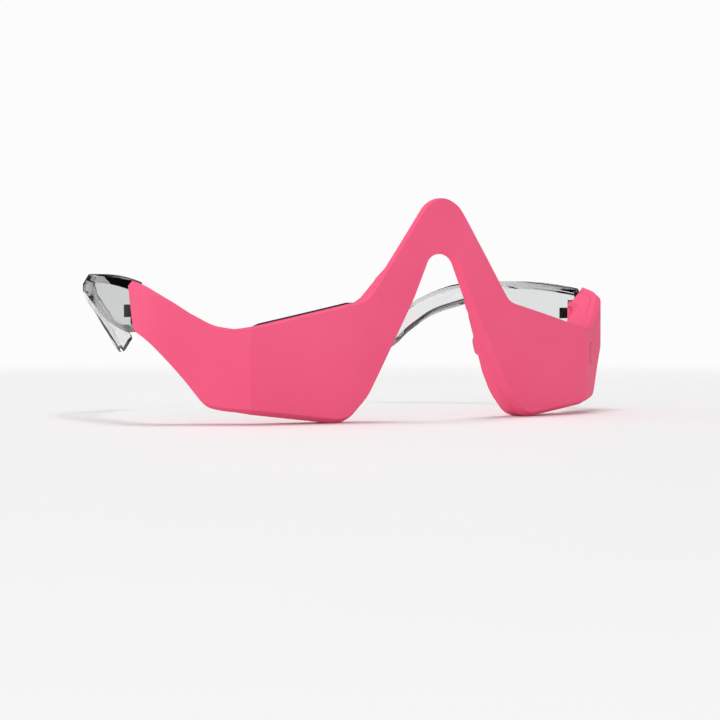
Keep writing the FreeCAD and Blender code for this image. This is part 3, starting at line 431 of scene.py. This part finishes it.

# The foam is dark grey, and its colour also carries painted shade: each cell is darker at the bottom
# of its pit, where the relief sinks.
FOAM_PIT_SHADE = (0.045, 0.045, 0.048, 1)
FOAM_LIGHT = (0.11, 0.11, 0.115, 1)
FOAM_ROUGHNESS = 0.85
FOAM_CELL_SCALE = 2400
FOAM_CELL_DEPTH = 0.00015
FOAM_CORNER_ROUND = 0.0008
FOAM_CORNER_STEPS = 4
FOAM_RIM_WIDTH = 0.0006
FOAM_CROWN = 0.00008
open_foam, foam_shader, foam_place = new_finish("open_cell_foam", FOAM_ROUGHNESS)
foam_cells = open_foam.node_tree.nodes.new("ShaderNodeTexVoronoi")
foam_cells.inputs["Scale"].default_value = FOAM_CELL_SCALE
open_foam.node_tree.links.new(foam_place, foam_cells.inputs["Vector"])
shade_between(open_foam, foam_cells.outputs["Distance"], FOAM_PIT_SHADE, FOAM_LIGHT,
              foam_shader.inputs["Base Color"])
emboss(open_foam, foam_cells.outputs["Distance"], FOAM_CELL_DEPTH, foam_shader)

right_along = Vector((-math.cos(WING_TILT), math.sin(WING_TILT), 0))
right_across = Vector((math.sin(WING_TILT), math.cos(WING_TILT), 0))
pad_along = reach("battery_pad", right_along)
pad_across = reach("battery_pad", right_across)
pad_up = reach("battery_pad", Vector((0, 0, 1)))
foam_thickness = pad_across[1] - pad_across[0]
bpy.ops.mesh.primitive_cube_add(size=1)
foam_pad = bpy.context.active_object
foam_pad.scale = (pad_along[1] - pad_along[0], foam_thickness, pad_up[1] - pad_up[0])
bpy.ops.object.transform_apply(location=False, rotation=False, scale=True)
select_where(foam_pad, "EDGE", lambda corners: abs(corners[0].y - corners[1].y) > SAME_PLACE)
bpy.ops.mesh.bevel(offset=FOAM_CORNER_ROUND, segments=FOAM_CORNER_STEPS, affect="EDGES")
select_where(foam_pad, "FACE", lambda corners: len(corners) > 4)
bpy.ops.mesh.inset(thickness=FOAM_RIM_WIDTH, depth=0)
bpy.ops.transform.resize(value=(1, 1 + 2 * FOAM_CROWN / foam_thickness, 1))
bpy.ops.object.mode_set(mode="OBJECT")
foam_middle = right_along * (sum(pad_along) / 2) + right_across * (sum(pad_across) / 2)
foam_middle.z = sum(pad_up) / 2
foam_pad.matrix_world = Matrix.Translation(foam_middle) @ Matrix.Rotation(-WING_TILT, 4, "Z")
foam_pad = join_as("battery_foam", [foam_pad])
foam_pad.data.materials.append(open_foam)
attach(foam_pad, "frame")
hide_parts("battery_pad")

# Light windows
# Red-tinted clear plastic panes, one behind each eye panel, pushed into the skin-side covers from
# inside. The pane is lightly frosted so that the rows of lamps behind it glow evenly.
WINDOW_RED = (0.88, 0.10, 0.08, 1)
WINDOW_RED_DEEP = (0.78, 0.06, 0.05, 1)
WINDOW_ROUGHNESS = (0.10, 0.18)
WINDOW_CLOUD_SCALE = 1800
WINDOW_FROST_DEPTH = 0.00001
WINDOW_CLEAR_SHARE = 0.7
WINDOW_LIGHT_BENDING = 1.58
window_plastic, window_shader, window_place = new_finish("red_window_plastic")
window_cloud = cloudy(window_plastic, window_place, WINDOW_CLOUD_SCALE)
shade_between(window_plastic, window_cloud, WINDOW_RED_DEEP, WINDOW_RED,
              window_shader.inputs["Base Color"])
range_between(window_plastic, window_cloud, WINDOW_ROUGHNESS, window_shader.inputs["Roughness"])
emboss(window_plastic, window_cloud, WINDOW_FROST_DEPTH, window_shader)
window_shader.inputs["Transmission Weight"].default_value = WINDOW_CLEAR_SHARE
window_shader.inputs["IOR"].default_value = WINDOW_LIGHT_BENDING
dress(window_plastic, "left_light_window", "right_light_window")

# Status light pipe
# A rod of milky pink plastic beside the button that brings the small indicator light of the
# main board to the surface of the wing, where it hardly shows until it is lit.
PIPE_MILK = (0.76, 0.09, 0.19, 1)
PIPE_CLEAR = (0.82, 0.11, 0.22, 1)
PIPE_ROUGHNESS = 0.5
PIPE_CLOUD_SCALE = 1200
PIPE_CLEAR_SHARE = 0.2
milky_plastic, milk_shader, milk_place = new_finish("milky_pink_plastic", PIPE_ROUGHNESS)
milk_cloud = cloudy(milky_plastic, milk_place, PIPE_CLOUD_SCALE)
shade_between(milky_plastic, milk_cloud, PIPE_MILK, PIPE_CLEAR, milk_shader.inputs["Base Color"])
milk_shader.inputs["Specular IOR Level"].default_value = PINK_SHINE
milk_shader.inputs["Transmission Weight"].default_value = PIPE_CLEAR_SHARE
dress(milky_plastic, "status_light_pipe")

# Rim shade strips
# A thin black strip let into the top of each cover behind the eye rim. It is painted shade, not a
# part of the device: only its upper edge shows, as the dark shadow line over the rim.
dress(chip_resin, "left_rim_trim", "right_rim_trim")

# Skin-side covers
# Pink mouldings of the same satin plastic that close the panels and wings from behind. They snap
# into the front frame, carry the windows, and end in the two lugs of each hinge.
dress(pink_satin, "left_inner_cover", "right_inner_cover")

# Nose pads
# Soft silicone pads bonded to the sloping faces beside the nose. Each is a rounded oblong with
# three low ribs across it for grip, slightly see-through and tinted like the frame.
SILICONE_DEEP = (0.70, 0.075, 0.150, 1)
SILICONE_BRIGHT = (0.78, 0.10, 0.19, 1)
SILICONE_ROUGHNESS = 0.55
SILICONE_CLOUD_SCALE = 1400
SILICONE_GRAIN_DEPTH = 0.00001
SILICONE_GLOW_SHARE = 0.1
SILICONE_GLOW_DEPTH = 0.001
PAD_LEAN = math.radians(28.5)
PAD_SLOPE_OUT = 0.3
PAD_SLOPE_UP = -0.144
PAD_SIDES = 40
PAD_ROUND = 0.0006
PAD_ROUND_STEPS = 6
RIB_PITCH = 0.0014
RIB_RADIUS = 0.00034
RIB_LENGTH = 0.0024
RIB_PROUD = 0.00012
RIB_SIDES = 20
RIB_END_ROUND = RIB_RADIUS * 0.6
RIB_ROUND_STEPS = 3
nose_silicone, silicone_shader, silicone_place = new_finish("nose_silicone", SILICONE_ROUGHNESS)
silicone_cloud = cloudy(nose_silicone, silicone_place, SILICONE_CLOUD_SCALE)
shade_between(nose_silicone, silicone_cloud, SILICONE_DEEP, SILICONE_BRIGHT,
              silicone_shader.inputs["Base Color"])
emboss(nose_silicone, silicone_cloud, SILICONE_GRAIN_DEPTH, silicone_shader)
silicone_shader.inputs["Subsurface Weight"].default_value = SILICONE_GLOW_SHARE
silicone_shader.inputs["Subsurface Scale"].default_value = SILICONE_GLOW_DEPTH

for side, sign in SIDES:
    name = side + "_nose_pad"
    outward = Vector((-sign * PAD_SLOPE_OUT, 1, -PAD_SLOPE_UP)).normalized()
    along = Vector((-sign * math.sin(PAD_LEAN), 0, math.cos(PAD_LEAN)))
    along = (along - outward * along.dot(outward)).normalized()
    across = along.cross(outward)
    wide = reach(name, across)
    long = reach(name, along)
    thick = reach(name, outward)
    radius = (wide[1] - wide[0]) / 2
    stretch = (long[1] - long[0]) / 2 - radius
    height = thick[1] - thick[0]
    bpy.ops.mesh.primitive_cylinder_add(
        vertices=PAD_SIDES, radius=radius, depth=height, rotation=(0, 0, math.pi / PAD_SIDES))
    pad = bpy.context.active_object
    bpy.ops.object.transform_apply(location=False, rotation=True, scale=False)
    for end in (-1, 1):
        select_where(pad, "EDGE", lambda corners: all(c.y * end > 0 for c in corners))
        bpy.ops.transform.translate(value=(0, end * stretch, 0))
    select_where(pad, "EDGE", lambda corners: all(c.z > 0 for c in corners))
    bpy.ops.mesh.bevel(offset=PAD_ROUND, segments=PAD_ROUND_STEPS, affect="EDGES")
    bpy.ops.object.mode_set(mode="OBJECT")
    for rib_place in (-RIB_PITCH, 0, RIB_PITCH):
        bpy.ops.mesh.primitive_cylinder_add(
            vertices=RIB_SIDES, radius=RIB_RADIUS, depth=RIB_LENGTH, rotation=(0, math.radians(90), 0),
            location=(0, rib_place, height / 2 - RIB_RADIUS + RIB_PROUD))
        rib = bpy.context.active_object
        select_where(rib, "FACE", lambda corners: len(corners) > 4)
        bpy.ops.mesh.bevel(offset=RIB_END_ROUND, segments=RIB_ROUND_STEPS, affect="EDGES")
        bpy.ops.object.mode_set(mode="OBJECT")
        bpy.ops.object.select_all(action="DESELECT")
        bpy.context.view_layer.objects.active = pad
        welding = pad.modifiers.new("rib", "BOOLEAN")
        welding.operation = "UNION"
        welding.object = rib
        bpy.ops.object.modifier_apply(modifier=welding.name)
        bpy.data.objects.remove(rib)
    middle = across * (sum(wide) / 2) + along * (sum(long) / 2) + outward * (sum(thick) / 2)
    pad_turn = Matrix((across, along, outward)).transposed().to_4x4()
    pad.matrix_world = Matrix.Translation(middle) @ pad_turn
    pad = join_as(side + "_silicone_pad", [pad])
    pad.data.materials.append(nose_silicone)
    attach(pad, "frame")
    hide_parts(name)

# Arms
# Water-clear polycarbonate arms, moulded in one shot and polished, with bevelled edges that catch
# dark and bright lines. They slim towards the ear and hook inwards and down at the tip.
ARM_CLEAR = (0.985, 0.988, 0.990, 1)
ARM_SHADE = (0.955, 0.960, 0.965, 1)
ARM_SMOKE = (0.42, 0.44, 0.45, 1)
ARM_SMOKE_DENSITY = 60.0
ARM_ROUGHNESS = 0.0
ARM_FLOW_SCALE = 40
ARM_LIGHT_BENDING = 1.585
clear_plastic, clear_shader, clear_place = new_finish("clear_arm_plastic", ARM_ROUGHNESS)
clear_flow = cloudy(clear_plastic, clear_place, ARM_FLOW_SCALE)
shade_between(clear_plastic, clear_flow, ARM_SHADE, ARM_CLEAR, clear_shader.inputs["Base Color"])
clear_shader.inputs["Transmission Weight"].default_value = 1.0
clear_shader.inputs["IOR"].default_value = ARM_LIGHT_BENDING
clear_depth = clear_plastic.node_tree.nodes.new("ShaderNodeVolumeAbsorption")
clear_depth.inputs["Color"].default_value = ARM_SMOKE
clear_depth.inputs["Density"].default_value = ARM_SMOKE_DENSITY
clear_plastic.node_tree.links.new(
    clear_depth.outputs["Volume"], clear_plastic.node_tree.nodes["Material Output"].inputs["Volume"])
dress(clear_plastic, "left_arm", "right_arm")

# Hinges
# A pink knuckle sits between the two lugs of each cover, with a headed steel pin as the axle. It is
# bonded to a black glass-filled nylon leaf, which lies in a slot just under the arm's outer face.
LEAF_BLACK = (0.003, 0.003, 0.003, 1)
LEAF_GREY = (0.009, 0.009, 0.010, 1)
LEAF_ROUGHNESS = 0.6
LEAF_SHINE = 0.05
LEAF_GRAIN_SCALE = 4200
LEAF_GRAIN_DEPTH = 0.00001
black_nylon, leaf_shader, leaf_place = new_finish("black_leaf_nylon", LEAF_ROUGHNESS)
leaf_shader.inputs["Specular IOR Level"].default_value = LEAF_SHINE
leaf_grain = cloudy(black_nylon, leaf_place, LEAF_GRAIN_SCALE)
shade_between(black_nylon, leaf_grain, LEAF_BLACK, LEAF_GREY, leaf_shader.inputs["Base Color"])
emboss(black_nylon, leaf_grain, LEAF_GRAIN_DEPTH, leaf_shader)
dress(black_nylon, "left_hinge_leaf", "right_hinge_leaf")
dress(pink_satin, "left_hinge_knuckle", "right_hinge_knuckle")
dress(drawn_steel, "left_hinge_pin", "right_hinge_pin")

# Floor
# A plain pale painted sheet under the device. Further out it turns by degrees into the even white
# of the surround, so that hardly any edge shows behind the device.
FLOOR_SIZE = 4.0
FLOOR_PALE = (0.92, 0.92, 0.92, 1)
FLOOR_SHADE = (0.90, 0.90, 0.90, 1)
FLOOR_ROUGHNESS = 0.6
FLOOR_SHINE = 0.2
FLOOR_CLOUD_SCALE = 6
FLOOR_NEAR = 0.10
FLOOR_FAR = 0.70
SURROUND_WHITE = (0.975, 0.975, 0.975, 1)

bpy.ops.mesh.primitive_plane_add(size=FLOOR_SIZE)
floor = bpy.context.active_object
floor.name = "floor"
floor_paint, floor_shader, floor_place = new_finish("pale_floor", FLOOR_ROUGHNESS)
floor_cloud = cloudy(floor_paint, floor_place, FLOOR_CLOUD_SCALE)
shade_between(floor_paint, floor_cloud, FLOOR_SHADE, FLOOR_PALE, floor_shader.inputs["Base Color"])
floor_shader.inputs["Specular IOR Level"].default_value = FLOOR_SHINE
floor_nodes = floor_paint.node_tree.nodes
floor_links = floor_paint.node_tree.links
floor_far = floor_nodes.new("ShaderNodeVectorMath")
floor_far.operation = "LENGTH"
floor_fade = floor_nodes.new("ShaderNodeMapRange")
floor_fade.interpolation_type = "SMOOTHSTEP"
floor_fade.inputs["From Min"].default_value = FLOOR_NEAR
floor_fade.inputs["From Max"].default_value = FLOOR_FAR
floor_glow = floor_nodes.new("ShaderNodeEmission")
floor_glow.inputs["Color"].default_value = SURROUND_WHITE
floor_mix = floor_nodes.new("ShaderNodeMixShader")
floor_links.new(floor_place, floor_far.inputs[0])
floor_links.new(floor_far.outputs["Value"], floor_fade.inputs["Value"])
floor_links.new(floor_fade.outputs["Result"], floor_mix.inputs["Fac"])
floor_links.new(floor_shader.outputs["BSDF"], floor_mix.inputs[1])
floor_links.new(floor_glow.outputs["Emission"], floor_mix.inputs[2])
floor_links.new(floor_mix.outputs["Shader"], floor_nodes["Material Output"].inputs["Surface"])
floor.data.materials.append(floor_paint)

# Surround
# A white photographic tent, lit through its left wall and dim under its roof. Mirrored and bent rays
# also meet dim cards, behind the device and on its left, which draw the dark lines in the clear arms.
LIT_WALL = (-0.94, 0.34, 0.0)
WALL_DIM = 1.46
WALL_BRIGHT = 2.80
ROOF_START = 0.10
ROOF_END = 0.50
ROOF_LIGHT = 0.25
ROOF_SEEN = 0.12
LEFT_CARD_START = 0.15
LEFT_CARD_END = -0.45
LEFT_CARD_SEEN = 0.10
BACK_CARD_START = -0.7
BACK_CARD_END = 0.2
BACK_CARD_MIRRORED = 0.06
FRONT_MIRRORED = 0.50

surround = bpy.data.worlds.new("white_surround")
surround.use_nodes = True
bpy.context.scene.world = surround
surround_nodes = surround.node_tree.nodes
surround_links = surround.node_tree.links
surround_back = surround_nodes["Background"]
surround_back.inputs["Color"].default_value = SURROUND_WHITE
ray_kind = surround_nodes.new("ShaderNodeLightPath")
wall_place = surround_nodes.new("ShaderNodeTexCoord")
wall_side = surround_nodes.new("ShaderNodeVectorMath")
wall_side.operation = "DOT_PRODUCT"
wall_side.inputs[1].default_value = LIT_WALL
wall_light = surround_nodes.new("ShaderNodeMapRange")
wall_light.inputs["From Min"].default_value = -1.0
wall_light.inputs["To Min"].default_value = WALL_DIM
wall_light.inputs["To Max"].default_value = WALL_BRIGHT
wall_way = surround_nodes.new("ShaderNodeSeparateXYZ")
surround_links.new(wall_place.outputs["Generated"], wall_side.inputs[0])
surround_links.new(wall_place.outputs["Generated"], wall_way.inputs["Vector"])
surround_links.new(wall_side.outputs["Value"], wall_light.inputs["Value"])


def share_along(way, start, end, first, last):
    """Share of the light that runs smoothly from first to last between two places along a way."""
    node = surround_nodes.new("ShaderNodeMapRange")
    node.interpolation_type = "SMOOTHSTEP"
    node.inputs["From Min"].default_value = start
    node.inputs["From Max"].default_value = end
    node.inputs["To Min"].default_value = first
    node.inputs["To Max"].default_value = last
    surround_links.new(wall_way.outputs[way], node.inputs["Value"])
    return node.outputs["Result"]


def times(value, factor):
    """One number of the surround multiplied by another."""
    node = surround_nodes.new("ShaderNodeMath")
    node.operation = "MULTIPLY"
    surround_links.new(value, node.inputs[0])
    surround_links.new(factor, node.inputs[1])
    return node.outputs["Value"]


def for_rays(kind, otherwise):
    """Switch that keeps a level but for one kind of ray, whose own level goes into its second end."""
    node = surround_nodes.new("ShaderNodeMapRange")
    surround_links.new(ray_kind.outputs[kind], node.inputs["Value"])
    surround_links.new(otherwise, node.inputs["To Min"])
    return node.outputs["Result"], node.inputs["To Max"]


roof_light = share_along("Z", ROOF_START, ROOF_END, 1.0, ROOF_LIGHT)
roof_seen = share_along("Z", ROOF_START, ROOF_END, 1.0, ROOF_SEEN)
left_seen = share_along("X", LEFT_CARD_END, LEFT_CARD_START, LEFT_CARD_SEEN, 1.0)
mirrored = share_along("Y", BACK_CARD_START, BACK_CARD_END, FRONT_MIRRORED, BACK_CARD_MIRRORED)
tent_level = times(wall_light.outputs["Result"], roof_light)
tent_level, mirrored_level = for_rays("Is Glossy Ray", tent_level)
surround_links.new(times(roof_seen, mirrored), mirrored_level)
tent_level, bent_level = for_rays("Is Transmission Ray", tent_level)
surround_links.new(times(roof_seen, left_seen), bent_level)
tent_level, plain_level = for_rays("Is Camera Ray", tent_level)
plain_level.default_value = 1.0
surround_links.new(tent_level, surround_back.inputs["Strength"])

# Soft lamps
# A large square softbox stands on the left, and a smaller and stronger one hangs above. Both point
# at the middle of the device.
LEFT_BOX_PLACE = (-0.90, -0.27, 0.385)
LEFT_BOX_SIZE = 0.60
LEFT_BOX_POWER = 0.6
TOP_BOX_PLACE = (0.05, 0.05, 0.92)
TOP_BOX_SIZE = 0.35
TOP_BOX_POWER = 3.8
DEVICE_MIDDLE = Vector((0, -0.02, 0.025))
for name, place, size, power in (
        ("left_softbox", LEFT_BOX_PLACE, LEFT_BOX_SIZE, LEFT_BOX_POWER),
        ("top_softbox", TOP_BOX_PLACE, TOP_BOX_SIZE, TOP_BOX_POWER)):
    lamp = bpy.data.lights.new(name, "AREA")
    lamp.shape = "SQUARE"
    lamp.size = size
    lamp.energy = power
    softbox = bpy.data.objects.new(name, lamp)
    softbox.location = place
    softbox.rotation_mode = "QUATERNION"
    softbox.rotation_quaternion = (DEVICE_MIDDLE - Vector(place)).to_track_quat("-Z", "Y")
    bpy.context.scene.collection.objects.link(softbox)

# Camera
# Level view from the right front of the wearer, 36 degrees off the middle, with a long lens at
# about half a metre. The front of the nose bridge falls on a set place in the picture.
VIEW_TURN = math.radians(36)
VIEW_DISTANCE = 0.465
NOSE_FRONT = Vector((0, -0.049976, 0.025288))
NOSE_AT = (444.1, 325.0)
FRAME_MIDDLE = 360.0
LENS_IN_PIXELS = 1750.0
SENSOR = 36.0
NEAREST_SEEN = 0.01
view_forward = Vector((math.sin(VIEW_TURN), math.cos(VIEW_TURN), 0))
view_right = Vector((math.cos(VIEW_TURN), -math.sin(VIEW_TURN), 0))
camera_data = bpy.data.cameras.new("camera")
camera_data.sensor_width = SENSOR
camera_data.lens = SENSOR * LENS_IN_PIXELS / (2 * FRAME_MIDDLE)
camera_data.clip_start = NEAREST_SEEN
camera = bpy.data.objects.new("camera", camera_data)
bpy.context.scene.collection.objects.link(camera)
camera.location = NOSE_FRONT - view_forward * VIEW_DISTANCE
aim = view_forward * LENS_IN_PIXELS
aim += view_right * (FRAME_MIDDLE - NOSE_AT[0])
aim += Vector((0, 0, 1)) * (NOSE_AT[1] - FRAME_MIDDLE)
camera.rotation_mode = "QUATERNION"
camera.rotation_quaternion = aim.to_track_quat("-Z", "Y")
bpy.context.scene.camera = camera
bpy.context.scene.view_settings.view_transform = "Standard"
